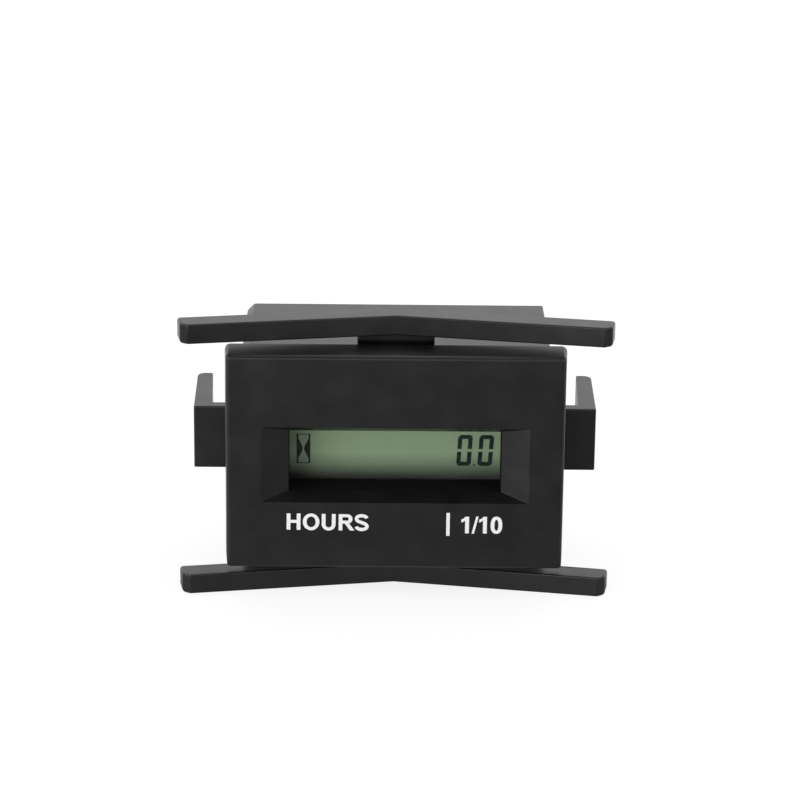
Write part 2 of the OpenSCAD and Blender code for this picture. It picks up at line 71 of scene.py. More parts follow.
# %% [markdown]
# The camera
#
# A product photograph like this one is taken with a long lens from a little above. The camera is described
# by the angles of its axis, its distance and its lens, and two small shifts put the object where it belongs
# in the square picture. Building the matrix from its axes keeps the slight roll of a hand-set tripod.

# %% Place the camera
ELEVATION = math.radians(18.0)
HEADING = math.radians(0.576)
ROLL = math.radians(0.652)
DISTANCE = 404.75 * MM
ASIDE = 0.666 * MM
RAISED = 6.983 * MM
FOCAL_MM = 137.28


def camera_matrix():
    """Columns are the camera's right, up and back axes; its place is the distance back plus two shifts."""
    back = Vector((-math.sin(HEADING) * math.cos(ELEVATION),
                   -math.cos(HEADING) * math.cos(ELEVATION), math.sin(ELEVATION)))
    level = Vector((math.cos(HEADING), -math.sin(HEADING), 0))
    upright = back.cross(level)
    right = math.cos(ROLL) * level + math.sin(ROLL) * upright
    up = math.cos(ROLL) * upright - math.sin(ROLL) * level
    place = DISTANCE * back + ASIDE * right + RAISED * up
    return Matrix.Translation(place) @ Matrix((right, up, back)).transposed().to_4x4()


lens_data = bpy.data.cameras.new("camera")
lens_data.lens = FOCAL_MM
lens_data.clip_start = 0.01
camera = bpy.data.objects.new("camera", lens_data)
camera.matrix_world = camera_matrix()
scene.collection.objects.link(camera)
scene.camera = camera
scene.view_settings.view_transform = "Standard"
print("camera at", [round(x, 4) for x in camera.matrix_world.translation])

# %% [markdown]
# Node helpers for the finishes
#
# Every finish below is built from the same few steps: noise in Object coordinates, which are plain metres
# here, then a remap to a range, a tint between two colours or a bump. A grade along one axis fades one thing
# into another. Short helpers keep each finish readable.

# %% Helpers that build node trees
NOISE_LOW, NOISE_HIGH = 0.3, 0.7


def new_finish(name, **sockets):
    """A new material with its node tree and Principled shader, whose constant sockets are set by name."""
    made = bpy.data.materials.new(name)
    made.use_nodes = True
    shader = made.node_tree.nodes["Principled BSDF"]
    for socket, value in sockets.items():
        shader.inputs[socket.replace("_", " ")].default_value = value
    return made, made.node_tree, shader


def object_place(tree, size, stretch=(1, 1, 1)):
    """Object coordinates divided by a size, and by a stretch along each axis."""
    place = tree.nodes.new("ShaderNodeTexCoord")
    mapping = tree.nodes.new("ShaderNodeMapping")
    mapping.inputs["Scale"].default_value = [1 / (size * along) for along in stretch]
    tree.links.new(place.outputs["Object"], mapping.inputs["Vector"])
    return mapping.outputs["Vector"]


def noise(tree, size, detail=3, stretch=(1, 1, 1)):
    """A noise value whose spots are about one size across."""
    texture = tree.nodes.new("ShaderNodeTexNoise")
    texture.inputs["Scale"].default_value = 1
    texture.inputs["Detail"].default_value = detail
    tree.links.new(object_place(tree, size, stretch), texture.inputs["Vector"])
    return texture.outputs[0]


def ranged(tree, value, start, stop, low, high):
    """A value that goes from low to high, and no further, while another goes from start to stop."""
    node = tree.nodes.new("ShaderNodeMapRange")
    for socket, bound in zip(("From Min", "From Max", "To Min", "To Max"), (start, stop, low, high)):
        node.inputs[socket].default_value = bound
    tree.links.new(value, node.inputs["Value"])
    return node.outputs["Result"]


def remap(tree, value, low, high):
    """A noise value, which mostly lies between two bounds, moved to the range from low to high."""
    return ranged(tree, value, NOISE_LOW, NOISE_HIGH, low, high)


def graded(tree, axis, start, stop, low, high):
    """A value that goes from low to high while one coordinate goes from start to stop."""
    place = tree.nodes.new("ShaderNodeTexCoord")
    parts = tree.nodes.new("ShaderNodeSeparateXYZ")
    tree.links.new(place.outputs["Object"], parts.inputs["Vector"])
    return ranged(tree, parts.outputs[axis], start, stop, low, high)


def tint(tree, value, dark, light):
    """A colour that goes from dark to light as a noise value goes from its lower to its upper bound."""
    ramp = tree.nodes.new("ShaderNodeValToRGB")
    for element, place, colour in zip(ramp.color_ramp.elements, (NOISE_LOW, NOISE_HIGH), (dark, light)):
        element.position = place
        element.color = (*colour, 1)
    tree.links.new(value, ramp.inputs["Fac"])
    return ramp.outputs["Color"]


def raise_bump(tree, shader, value, height):
    """A bump on the shader's normal: height in metres where the value is 1."""
    bump = tree.nodes.new("ShaderNodeBump")
    bump.inputs["Distance"].default_value = height
    tree.links.new(value, bump.inputs["Height"])
    tree.links.new(bump.outputs["Normal"], shader.inputs["Normal"])


# %% [markdown]
# Stage and light
#
# The meter stands on its lower wing on a pale table in a white room. The camera sees room and table as plain
# white, directly and through glass, while the light that they throw on the meter stays at an ordinary level.
# The table keeps part of its own shading, so the meter's shadow stays. A black part is mostly seen by what
# it mirrors, so reflections are set apart: the walls are white, the ceiling is greyer, and the table glows
# little in front of the meter and almost fully behind it. Large soft lamps add the rest. The low ones
# brighten the faces that are turned towards them, which tells the eye how those faces lie.

# %% White room
SEEN_WHITE = 1.0
CEILING_GREY = 0.45
# Sines of the elevations between which the walls turn into the ceiling
CEILING = (0.5, 0.9)
ROOM_LIGHT = 0.55


def seen_flag(tree, in_mirrors=None):
    """1 for rays from the camera and through glass, and 0 for the rays that gather soft light. Reflections
    count as 1 too, or as the value in_mirrors."""
    path = tree.nodes.new("ShaderNodeLightPath")
    mirrored = path.outputs["Is Glossy Ray"]
    if in_mirrors:
        product = tree.nodes.new("ShaderNodeMath")
        product.operation = "MULTIPLY"
        tree.links.new(mirrored, product.inputs[0])
        tree.links.new(in_mirrors, product.inputs[1])
        mirrored = product.outputs["Value"]
    total = path.outputs["Is Camera Ray"]
    for flag in (mirrored, path.outputs["Is Transmission Ray"]):
        either = tree.nodes.new("ShaderNodeMath")
        either.operation = "MAXIMUM"
        tree.links.new(total, either.inputs[0])
        tree.links.new(flag, either.inputs[1])
        total = either.outputs["Value"]
    return total


def white_room():
    """A world that lights the meter evenly. To look at, its walls are white and its ceiling is greyer."""
    world = bpy.data.worlds.new("white_room")
    world.use_nodes = True
    tree = world.node_tree
    background = tree.nodes["Background"]
    background.inputs["Color"].default_value = (1, 1, 1, 1)
    strength = tree.nodes.new("ShaderNodeMapRange")
    strength.inputs["To Min"].default_value = ROOM_LIGHT
    tree.links.new(graded(tree, "Z", *CEILING, SEEN_WHITE, CEILING_GREY), strength.inputs["To Max"])
    tree.links.new(seen_flag(tree), strength.inputs["Value"])
    tree.links.new(strength.outputs["Result"], background.inputs["Strength"])
    return world


scene.world = white_room()
print("room light", ROOM_LIGHT)

# %% Pale table
TABLE_GLOW = 0.83
TABLE_ALBEDO = 0.26
TABLE_SIZE = 3.0
MIRROR_FRONT, MIRROR_BACK = 0.05, 0.9
FRONT_END, BACK_START = -30 * MM, 50 * MM


def table_finish():
    """A matt white top: a diffuse share that shows the shadow, and a glow that only seeing rays pick up. In
    reflections the glow is small in front of the meter and nearly full behind it."""
    made = bpy.data.materials.new("table_white")
    made.use_nodes = True
    tree = made.node_tree
    tree.nodes.clear()
    matt = tree.nodes.new("ShaderNodeBsdfDiffuse")
    matt.inputs["Color"].default_value = (TABLE_ALBEDO,) * 3 + (1,)
    glow = tree.nodes.new("ShaderNodeEmission")
    strength = tree.nodes.new("ShaderNodeMath")
    strength.operation = "MULTIPLY"
    strength.inputs[1].default_value = TABLE_GLOW
    both = tree.nodes.new("ShaderNodeAddShader")
    output = tree.nodes.new("ShaderNodeOutputMaterial")
    in_mirrors = graded(tree, "Y", FRONT_END, BACK_START, MIRROR_FRONT, MIRROR_BACK)
    tree.links.new(seen_flag(tree, in_mirrors), strength.inputs[0])
    tree.links.new(strength.outputs["Value"], glow.inputs["Strength"])
    tree.links.new(matt.outputs["BSDF"], both.inputs[0])
    tree.links.new(glow.outputs["Emission"], both.inputs[1])
    tree.links.new(both.outputs["Shader"], output.inputs["Surface"])
    return made


def table_surface(height):
    """A flat square at one height: x and y run over the table's size."""
    sides = [-TABLE_SIZE / 2, TABLE_SIZE / 2]
    x, y = np.meshgrid(sides, sides)
    corners = np.column_stack([x.ravel(), y.ravel(), np.full(4, height)])
    mesh = bpy.data.meshes.new("table")
    mesh.from_pydata(corners.tolist(), [], [(0, 1, 3, 2)])
    return mesh


table = bpy.data.objects.new("table", table_surface(cad_box[0][2]))
table.data.materials.append(table_finish())
scene.collection.objects.link(table)
print("table at", round(cad_box[0][2] / MM, 2), "mm")

# %% Soft lamps
# Place, width, height and power of each lamp, in metres and watts
LAMPS = {
    "overhead": ((0.0, 0.5, 0.9), 0.9, 0.9, 3.4),
    "front_left": ((-0.7, -0.6, 0.42), 0.6, 0.6, 0.8),
    "front_right": ((0.75, -0.4, 0.6), 0.6, 0.6, 1.2),
    "low_left": ((-0.72, -0.72, 0.06), 0.8, 0.14, 4.8),
    "low_front": ((-0.34, -0.93, 0.04), 0.3, 0.1, 1.3),
    "low_right": ((0.72, -0.72, 0.06), 0.8, 0.14, 0.7),
}


def soft_lamp(name, place, width, height, power):
    """A rectangular lamp that faces the meter."""
    lamp = bpy.data.lights.new(name, "AREA")
    lamp.shape = "RECTANGLE"
    lamp.size, lamp.size_y = width, height
    lamp.energy = power
    made = bpy.data.objects.new(name, lamp)
    made.location = place
    made.rotation_euler = (-Vector(place)).to_track_quat("-Z", "Y").to_euler()
    scene.collection.objects.link(made)
    return made


for lamp_name, lamp_values in LAMPS.items():
    soft_lamp(lamp_name, *lamp_values)
print("lamps:", ", ".join(LAMPS))

# %% [markdown]
# Black moulded plastic
#
# Bezel, clip and cover are moulded in black. Seen up close, such plastic isn't one black: the mould leaves a
# fine spark-eroded grain, the gloss wanders a little from place to place, and handling leaves faint pale
# spots. So a slow noise moves the colour and the roughness, and a fine one raises the grain.

# %% Finish of the black mouldings
MOULDED_GLOSS = (0.30, 0.36)
CLOUD = 4 * MM
GRAIN = 0.16 * MM


def satin_black(name, dark, light, gloss, grain_height):
    """Colour and roughness follow a slow noise between two values; a fine noise raises the grain."""
    made, tree, shader = new_finish(name, Specular_IOR_Level=0.5)
    slow = noise(tree, CLOUD)
    fine = noise(tree, GRAIN, detail=2)
    tree.links.new(tint(tree, slow, (dark,) * 3, (light,) * 3), shader.inputs["Base Color"])
    tree.links.new(remap(tree, slow, *gloss), shader.inputs["Roughness"])
    raise_bump(tree, shader, fine, grain_height)
    return made


HOUSING_BLACK = satin_black("housing_black", 0.0035, 0.006, MOULDED_GLOSS, 0.003 * MM)
CLIP_BLACK = satin_black("clip_black", 0.004, 0.007, MOULDED_GLOSS, 0.004 * MM)
print("black mouldings:", HOUSING_BLACK.name, CLIP_BLACK.name)

# %% [markdown]
# Softened copies of the mouldings
#
# A mould never gives a knife edge: each outer edge is slightly round and catches a thin line of light, and
# that line is most of what the eye reads on a black part. The solids have sharp edges, so each moulding is
# copied, its triangles are merged into faces, and a Bevel modifier rounds the outer edges by a tenth of a
# millimetre or two. Only edges that stick out are marked; the window's rim and the fine ratchet teeth stay.

# %% Copy a solid and round its outer edges
SHARP = math.radians(25)
FLAT = math.radians(0.2)
SAME_POINT = 0.001 * MM
ROUND_STEPS = 3


def merged_copy(node, name):
    """The node's triangles with shared corners, and flat neighbours merged into one face."""
    mesh = bpy.data.meshes.new(name)
    work = bmesh.new()
    work.from_mesh(nodes[node].data)
    bmesh.ops.remove_doubles(work, verts=work.verts, dist=SAME_POINT)
    bmesh.ops.dissolve_limit(work, angle_limit=FLAT, verts=work.verts, edges=work.edges)
    work.to_mesh(mesh)
    work.free()
    return mesh


def mark_outer_edges(mesh, kept):
    """Bevel weight 1 on each edge that sticks out more than the sharp angle and whose middle, in millimetres,
    passes kept. The other edges with such an angle, inner corners included, stay crisp. Only faces that take
    part in a curve, with a gentle angle to a neighbour, are shaded smooth."""
    work = bmesh.new()
    work.from_mesh(mesh)
    weight = work.edges.layers.float.new("bevel_weight_edge")
    for edge in work.edges:
        angle = edge.calc_face_angle_signed()
        middle = (edge.verts[0].co + edge.verts[1].co) / (2 * MM)
        edge[weight] = float(angle > SHARP and kept(middle))
        edge.smooth = abs(angle) < SHARP or edge[weight] > 0
    for face in work.faces:
        face.smooth = any(FLAT < abs(edge.calc_face_angle_signed()) < SHARP for edge in face.edges)
    work.to_mesh(mesh)
    count = sum(edge[weight] > 0 for edge in work.edges)
    work.free()
    return count


def softened(node, name, body, finish, radius, kept):
    """A copy of a moulding whose outer edges are rounded by radius; it stands for the node."""
    mesh = merged_copy(node, name)
    marked = mark_outer_edges(mesh, kept)
    mesh.materials.clear()
    mesh.materials.append(finish)
    piece = bpy.data.objects.new(name, mesh)
    scene.collection.objects.link(piece)
    bevel = piece.modifiers.new("round_edges", "BEVEL")
    bevel.limit_method = "WEIGHT"
    bevel.width = radius
    bevel.segments = ROUND_STEPS
    bevel.use_clamp_overlap = False
    bevel.loop_slide = False
    flat_faces = piece.modifiers.new("flat_faces", "WEIGHTED_NORMAL")
    flat_faces.keep_sharp = True
    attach(piece, body)
    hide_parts(node)
    print(name, "has", len(mesh.polygons), "faces and", marked, "rounded edges")
    return piece


# %% Soften bezel, clip and cover
BODY_ROUND = 0.12 * MM
CLIP_ROUND = 0.2 * MM
# Bounds in millimetres that sort the edges, each with a little room round what it names
BEZEL_BACK = 0.5
WINDOW_HALF_W, WINDOW_HALF_H = 18, 6.5
SLEEVE_WALL = 1.5
SLEEVE_HALF_H = 12.5
SIDE_BAND = 1
TRACK_HALF = 2.7
body_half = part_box("rear_cover")[1].x / MM - SIDE_BAND
front_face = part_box("housing")[0].y / MM


def on_bezel(middle):
    """The bezel's outer edges, without the window, whose rim is crisp."""
    in_window = abs(middle.x) < WINDOW_HALF_W and abs(middle.z) < WINDOW_HALF_H
    return middle.y < BEZEL_BACK and not in_window


def outside_sleeve(middle):
    """The clip's outer edges, without the pawls and the inside of its sleeve."""
    return abs(middle.x) > body_half + SLEEVE_WALL or abs(middle.z) > SLEEVE_HALF_H


def outside_track(middle):
    """The cover's edges, without the ends of the ratchet tracks."""
    return not (abs(middle.x) > body_half and abs(middle.z) < TRACK_HALF)


bezel = softened("housing", "bezel_moulding", "meter", HOUSING_BLACK, BODY_ROUND, on_bezel)
softened("mounting_clip", "clip_moulding", "clip", CLIP_BLACK, CLIP_ROUND, outside_sleeve)
softened("rear_cover", "cover_moulding", "meter", HOUSING_BLACK, BODY_ROUND, outside_track)

# %% [markdown]
# The dull tunnel behind the window
#
# Between the bevelled window and the lens the wall is left dull, so that the lit display doesn't mirror in
# it. It is the same moulding, so it stays the same piece: the faces in the tunnel just get a second finish.

# %% Dull the tunnel
# Bounds in millimetres, with a little room round the view and behind the bevel
VIEW_HALF_W, VIEW_HALF_H = 14.5, 5
BEVEL_DEPTH = 2
TOUCH = 0.01


def dull_black():
    """Black without gloss: a coarse grain in colour and height, and almost no mirror reflection."""
    made, tree, shader = new_finish("tunnel_black", Roughness=0.85, Specular_IOR_Level=0.04)
    grain = noise(tree, 0.3 * MM)
    tree.links.new(tint(tree, grain, (0.006,) * 3, (0.013,) * 3), shader.inputs["Base Color"])
    raise_bump(tree, shader, grain, 0.01 * MM)
    return made


def in_tunnel(mesh):
    """True for each face whose middle lies behind the bevel, in front of the lens and beside the view."""
    middles = np.empty(3 * len(mesh.polygons))
    mesh.polygons.foreach_get("center", middles)
    x, y, z = middles.reshape(-1, 3).T / MM
    lens_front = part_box("lens")[0].y / MM
    beside_view = (np.abs(x) < VIEW_HALF_W) & (np.abs(z) < VIEW_HALF_H)
    return beside_view & (y > front_face + BEVEL_DEPTH) & (y < lens_front - TOUCH)


bezel.data.materials.append(dull_black())
dull_faces = in_tunnel(bezel.data)
bezel.data.polygons.foreach_set("material_index", dull_faces.astype(np.int32))
print("dull faces:", int(dull_faces.sum()))

# %% [markdown]
# Flat bands for print and display
#
# Lettering and display segments are flat strokes. Each stroke is a band: a ruled surface between a left and
# a right edge, given a small thickness so that it is a closed solid. A letter is then a few bands that meet
# edge to edge, and a whole word is one mesh.

# %% Bands between two edges


def arc(centre, radii, start, stop, count=24, power=2.0):
    """Points on a superellipse from one angle to another, in degrees: a circle's cosine and sine, each raised
    to 2 / power with its sign kept, times the radii."""
    angle = np.radians(np.linspace(start, stop, count))
    cosine, sine = np.cos(angle), np.sin(angle)
    unit_oval = np.column_stack([np.sign(c) * np.abs(c) ** (2 / power) for c in (cosine, sine)])
    return np.asarray(centre) + unit_oval * np.asarray(radii)


def stroke(line, width):
    """The two edges of a line of even width: the line moved to both sides along its normal."""
    line = np.asarray(line, float)
    along = np.gradient(line, axis=0)
    along /= np.linalg.norm(along, axis=1, keepdims=True)
    normal = np.column_stack([-along[:, 1], along[:, 0]])
    return line + normal * width / 2, line - normal * width / 2


def band_solid(left, right, front, back):
    """Corners and faces of a band. Its section is a rectangle: left and right edge at the front depth, then
    right and left edge at the back depth. The section runs along the edges and is closed at both ends."""
    left, right = np.asarray(left, float), np.asarray(right, float)
    count = len(left)
    corners = np.empty((count, 4, 3))
    for place, (edge, depth) in enumerate([(left, front), (right, front), (right, back), (left, back)]):
        corners[:, place] = np.column_stack([edge[:, 0], np.full(count, depth), edge[:, 1]])
    row, column = np.meshgrid(np.arange(count - 1), np.arange(4), indexing="ij")
    following = (column + 1) % 4
    here, ahead = 4 * row, 4 * row + 4
    walls = np.stack([here + column, here + following, ahead + following, ahead + column], -1)
    ends = np.array([[3, 2, 1, 0], [0, 1, 2, 3]]) + [[0], [4 * (count - 1)]]
    return corners.reshape(-1, 3), np.concatenate([walls.reshape(-1, 4), ends])


def bands_mesh(name, bands, front, back):
    """One mesh of many bands: their corners one after another, with each band's faces counted on."""
    solids = [band_solid(left, right, front, back) for left, right in bands]
    starts = np.cumsum([0] + [len(corners) for corners, _ in solids[:-1]])
    corners = np.concatenate([corners for corners, _ in solids])
    faces = np.concatenate([faces + start for (_, faces), start in zip(solids, starts)])
    mesh = bpy.data.meshes.new(name)
    mesh.from_pydata(corners.tolist(), [], faces.tolist())
    mesh.validate()
    return mesh


def thin_piece(name, bands, front, back, finish, slot):
    """A flat piece on the meter, made of bands between two depths."""
    piece = bpy.data.objects.new(name, bands_mesh(name, bands, front, back))
    piece.data.materials.append(finish)
    scene.collection.objects.link(piece)
    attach(piece, "meter")
    print(name, "has", len(bands), "strokes and", len(piece.data.polygons), "faces")
    return piece


# %% [markdown]
# The printed legend
#
# A pad printer puts white ink on the bezel below the window: the unit on the left, and on the right a rule
# and the share of an hour that the last digit counts. The letters are heavy and plain. They are drawn here on
# a height of 1, with a heavy upright and a lighter cross stroke, then scaled and set on their baseline.

# %% Letters on a height of 1
# Widths of the strokes, how far round letters pass the lines, and widths of the letters
UPRIGHT = 0.222
CROSS = 0.185
OVER = 0.017
PLAIN_WIDTH = 0.805
ROUND_WIDTH = 0.967
ONE_WIDTH = 0.441
ZERO_WIDTH = 0.665
SLASH_WIDTH, SLASH_STROKE = 0.388, 0.137


def upright(left, right, low, high):
    """A straight vertical stroke."""
    return np.array([[left, low], [left, high]]), np.array([[right, low], [right, high]])


def ring(centre, outer, power=2.0):
    """A closed oval stroke between an outer oval and an inner one."""
    inner = np.asarray(outer) - [UPRIGHT, CROSS]
    return arc(centre, inner, 0, 360, 49, power), arc(centre, outer, 0, 360, 49, power)


def letter_h():
    """Two uprights and a bar, a little above the middle."""
    far = PLAIN_WIDTH - UPRIGHT
    level = 0.515
    low, high = level - CROSS / 2, level + CROSS / 2
    bar = np.array([[UPRIGHT, high], [far, high]]), np.array([[UPRIGHT, low], [far, low]])
    return [upright(0, UPRIGHT, 0, 1), upright(far, PLAIN_WIDTH, 0, 1), bar]


def letter_o():
    """One oval."""
    half = ROUND_WIDTH / 2
    return [ring((half, 0.5), (half, 0.5 + OVER))]


def letter_u():
    """A stroke that goes down, round and up again."""
    half, bend = PLAIN_WIDTH / 2, 0.36
    inner = arc((half, bend), (half - UPRIGHT, bend + OVER - CROSS), 180, 360)
    outer = arc((half, bend), (half, bend + OVER), 180, 360)
    return [(np.vstack([[UPRIGHT, 1], inner, [2 * half - UPRIGHT, 1]]),
             np.vstack([[0, 1], outer, [2 * half, 1]]))]


def letter_r():
    """An upright, a bowl that leaves it and comes back, and a leg."""
    radius = 0.29
    low = 1 - 2 * radius
    centre = (0.51, 1 - radius)
    outer = arc(centre, (radius, radius), 90, -90)
    inner = arc(centre, (radius - UPRIGHT, radius - CROSS), 90, -90)
    bowl = (np.vstack([[UPRIGHT, 1], outer, [UPRIGHT, low]]),
            np.vstack([[UPRIGHT, 1 - CROSS], inner, [UPRIGHT, low + CROSS]]))
    leg = np.array([[0.62, low], [0.925, 0]]), np.array([[0.36, low], [0.665, 0]])
    return [upright(0, UPRIGHT, 0, 1), bowl, leg]


def letter_s():
    """Two oval arcs whose ends share one slope, joined by a straight."""
    line = np.vstack([arc((0.41, 0.73), (0.305, 0.195), 12, 240), arc((0.41, 0.27), (0.31, 0.195), 60, -172)])
    return [stroke(line, 0.2)]


def figure_1():
    """An upright with a flag."""
    stem = ONE_WIDTH - UPRIGHT
    upper = np.array([[0, 0.83], [0.11, 0.875], [0.18, 0.93], [stem, 1]])
    lower = np.array([[0, 0.655], [0.1, 0.69], [0.17, 0.735], [stem, 0.8]])
    return [upright(stem, ONE_WIDTH, 0, 1), (upper, lower)]


def figure_0():
    """A narrow oval with full shoulders."""
    half = ZERO_WIDTH / 2
    return [ring((half, 0.5), (half, 0.5 + OVER), 2.3)]


def slash():
    """A slanted stroke cut level at both ends."""
    left = np.array([[0, -OVER], [SLASH_WIDTH - SLASH_STROKE, 1 + OVER]])
    return [(left, left + [SLASH_STROKE, 0])]


# Each letter's strokes, the space before it and its full step
LETTERS = {
    "H": (letter_h, 0.102, 1.008),
    "O": (letter_o, 0.060, 1.087),
    "U": (letter_u, 0.100, 1.008),
    "R": (letter_r, 0.102, 1.008),
    "S": (letter_s, 0.050, 0.932),
    "1": (figure_1, 0.109, 0.777),
    "/": (slash, 0.000, 0.388),
    "0": (figure_0, 0.056, 0.777),
}

# %% Print the legend on the bezel
# Left end, baseline and height of each word, and left, right, low and high of the rule, in millimetres
UNIT_PLACE = (-14.26, -9.32, 2.28)
SHARE_PLACE = (8.82, -9.65, 2.33)
RULE = (6.84, 7.30, -10.03, -6.8)
INK_PROUD, INK_SUNK = 0.02, 0.01


def word_bands(word, left, baseline, height, tighten, turn=0.0):
    """The strokes of a word: each letter moved to its pen place, scaled, turned clockwise and set at left on
    a baseline, then brought to metres. Each step is shorter than usual by tighten, in letter heights."""
    pen = -LETTERS[word[0]][1]
    lean = np.radians(turn)
    spin = np.array([[np.cos(lean), -np.sin(lean)], [np.sin(lean), np.cos(lean)]])
    bands = []
    for letter in word:
        strokes, before, step = LETTERS[letter]
        place = np.array([pen + before, 0])
        bands += [tuple((((edge + place) * height) @ spin + [left, baseline]) * MM for edge in edges)
                  for edges in strokes()]
        pen += step - tighten
    return bands


def print_white():
    """Pad-printing ink: nearly white, a little thinner in places, matt."""
    made, tree, shader = new_finish("legend_white", Roughness=0.6, Specular_IOR_Level=0.3)
    thin = noise(tree, 0.35 * MM, detail=4)
    tree.links.new(tint(tree, thin, (0.86, 0.87, 0.88), (0.95, 0.95, 0.95)), shader.inputs["Base Color"])
    return made


LEGEND_WHITE = print_white()
ink = (front_face - INK_PROUD) * MM, (front_face + INK_SUNK) * MM
unit = word_bands("HOURS", *UNIT_PLACE, tighten=0.03, turn=0.45)
share = word_bands("1/10", *SHARE_PLACE, tighten=0.075)
rule = [tuple(edge * MM for edge in upright(*RULE))]
thin_piece("legend_unit", unit, *ink, LEGEND_WHITE, "housing_plastic")
thin_piece("legend_share", share + rule, *ink, LEGEND_WHITE, "housing_plastic")

# %% [markdown]
# The display
#
# A reflective liquid crystal display is a grey-green film on glass with dark segments. The film here is the
# solid behind the lens. Its finish is a satin green that wanders slightly. Towards the lower edge of the view
# it fades into painted shade, which stands for the shade that the window's lower ledge casts in the recess.
# The lens mirrors little, as a coated one does, so it has a low index. The lit segments are thin dark bands
# on the film: two figures with a point, and an hourglass sign that says that the meter counts.

# %% Finishes of film, segments and lens
# Painted shade: between these heights the film's green darkens towards the lower edge of the view, standing
# in for the shade of the window's lower ledge
LEDGE_SHADE_LOW, LEDGE_SHADE_HIGH = -4.2 * MM, -1.0 * MM
LEDGE_SHADE_DARK = (0.012, 0.012, 0.011)
FILM_GREENS = (0.208, 0.300, 0.177), (0.225, 0.322, 0.192)
SEGMENT_GREENS = (0.001, 0.008, 0.005), (0.002, 0.012, 0.008)
COATED_INDEX, GLASS_INDEX = 1.18, 1.5


def display_green():
    """Satin green film: two close greens mixed by a slow noise, with a fine bump. Towards the lower edge of
    the view it fades into a painted shade, the shade of the window's lower ledge."""
    made, tree, shader = new_finish("display_green", Roughness=0.55, Specular_IOR_Level=0.3)
    slow = noise(tree, 9 * MM)
    fine = noise(tree, 0.12 * MM, detail=1)
    # Painted shade of the window's lower ledge: the green turns to this dark colour towards the lower edge of
    # the view
    ledge_shade = tree.nodes.new("ShaderNodeMixRGB")
    ledge_shade.inputs["Color1"].default_value = (*LEDGE_SHADE_DARK, 1)
    tree.links.new(graded(tree, "Z", LEDGE_SHADE_LOW, LEDGE_SHADE_HIGH, 0, 1), ledge_shade.inputs["Fac"])
    tree.links.new(tint(tree, slow, *FILM_GREENS), ledge_shade.inputs["Color2"])
    tree.links.new(ledge_shade.outputs["Color"], shader.inputs["Base Color"])
    raise_bump(tree, shader, fine, 0.002 * MM)
    return made


def segment_dark():
    """Lit liquid crystal: a dark blue-green that lets a little of the film through in places."""
    made, tree, shader = new_finish("segment_dark", Roughness=0.5, Specular_IOR_Level=0.05)
    slow = noise(tree, 0.5 * MM)
    tree.links.new(tint(tree, slow, *SEGMENT_GREENS), shader.inputs["Base Color"])
    return made


def clear_plate(name, colour, index, scratches):
    """Clear plastic or glass: it refracts, its polish wanders a little, and lamps and soft light pass it
    straight, so that what lies behind it is lit as the rest is."""
    made, tree, shader = new_finish(name, IOR=index, Transmission_Weight=1.0, Base_Color=(*colour, 1))
    slow = noise(tree, 3 * MM, detail=4)
    tree.links.new(remap(tree, slow, 0.0, scratches), shader.inputs["Roughness"])
    clear = tree.nodes.new("ShaderNodeBsdfTransparent")
    path = tree.nodes.new("ShaderNodeLightPath")
    passing = tree.nodes.new("ShaderNodeMath")
    passing.operation = "MAXIMUM"
    mix = tree.nodes.new("ShaderNodeMixShader")
    output = tree.nodes["Material Output"]
    tree.links.new(path.outputs["Is Shadow Ray"], passing.inputs[0])
    tree.links.new(path.outputs["Is Diffuse Ray"], passing.inputs[1])
    tree.links.new(passing.outputs["Value"], mix.inputs["Fac"])
    tree.links.new(shader.outputs["BSDF"], mix.inputs[1])
    tree.links.new(clear.outputs["BSDF"], mix.inputs[2])
    tree.links.new(mix.outputs["Shader"], output.inputs["Surface"])
    return made


def dress(node, finish):
    """Give a solid its finish."""
    nodes[node].data.materials.clear()
    nodes[node].data.materials.append(finish)


SEGMENT_DARK = segment_dark()
dress("front_polarizer", display_green())
dress("lens", clear_plate("coated_acrylic", (0.98, 0.99, 0.98), COATED_INDEX, 0.05))

# %% Segments of the figures
# Sizes in millimetres: the figure, its segments, the slits between them, half the open waist, the cut corner
FIGURE_W = 1.95
FIGURE_H = 4.36
SEGMENT = 0.57
SLIT = 0.012
WAIST = 0.2
BITE = 0.32
LEAN = math.tan(math.radians(3.6))


def half_zero():
    """Upper half of a figure: a top segment and two side segments that stop at the waist. They meet along a
    slit on the diagonal, and the outer corner is cut off by a bite."""
    w, h, s = FIGURE_W, FIGURE_H, SEGMENT
    x = np.array([BITE / 2 + SLIT, BITE, w - BITE, w - BITE / 2 - SLIT])
    inner_x = np.array([s + SLIT, s + 2 * SLIT, w - s - 2 * SLIT, w - s - SLIT])
    top = (np.column_stack([x, [h - BITE / 2, h, h, h - BITE / 2]]),
           np.column_stack([inner_x, np.full(4, h - s)]))
    outer = np.array([[0, h / 2 + WAIST], [0, h - BITE], [BITE / 2, h - BITE / 2 - SLIT]])
    inner = np.array([[s, h / 2 + WAIST], [s, h - s - 2 * SLIT], [s, h - s - SLIT]])
    mirror = np.array([-1, 1])
    return [top, (outer, inner), (inner * mirror + [w, 0], outer * mirror + [w, 0])]


def turned_over(bands, height):
    """Bands mirrored top to bottom within a height, with edges swapped so that they still face front."""
    flip = np.array([1, -1])
    return [(right * flip + [0, height], left * flip + [0, height]) for left, right in bands]


def leaning(bands, x, z):
    """Bands that lean to the right, with their lower left corner at x and z, in millimetres."""
    lean = np.array([[1, 0], [LEAN, 1]])
    return [tuple((edge @ lean + [x, z]) * MM for edge in edges) for edges in bands]


# %% Lay the lit segments on the film
# Places in millimetres: left ends and foot of the figures, then the sign's sides, ends and line widths
FIGURE_X = (8.19, 11.03)
FIGURE_Z = -2.68
POINT, POINT_GAP = 0.24, 0.35
SIGN_LEFT, SIGN_RIGHT = -13.12, -11.28
SIGN_LOW, SIGN_HIGH = -2.48, 1.66
SIGN_WALL, SIGN_NECK, SIGN_LINE, SIGN_BULB = 0.24, 0.2, 0.1, 0.65
SEGMENT_PROUD, SEGMENT_SUNK = 0.03 * MM, 0.005 * MM


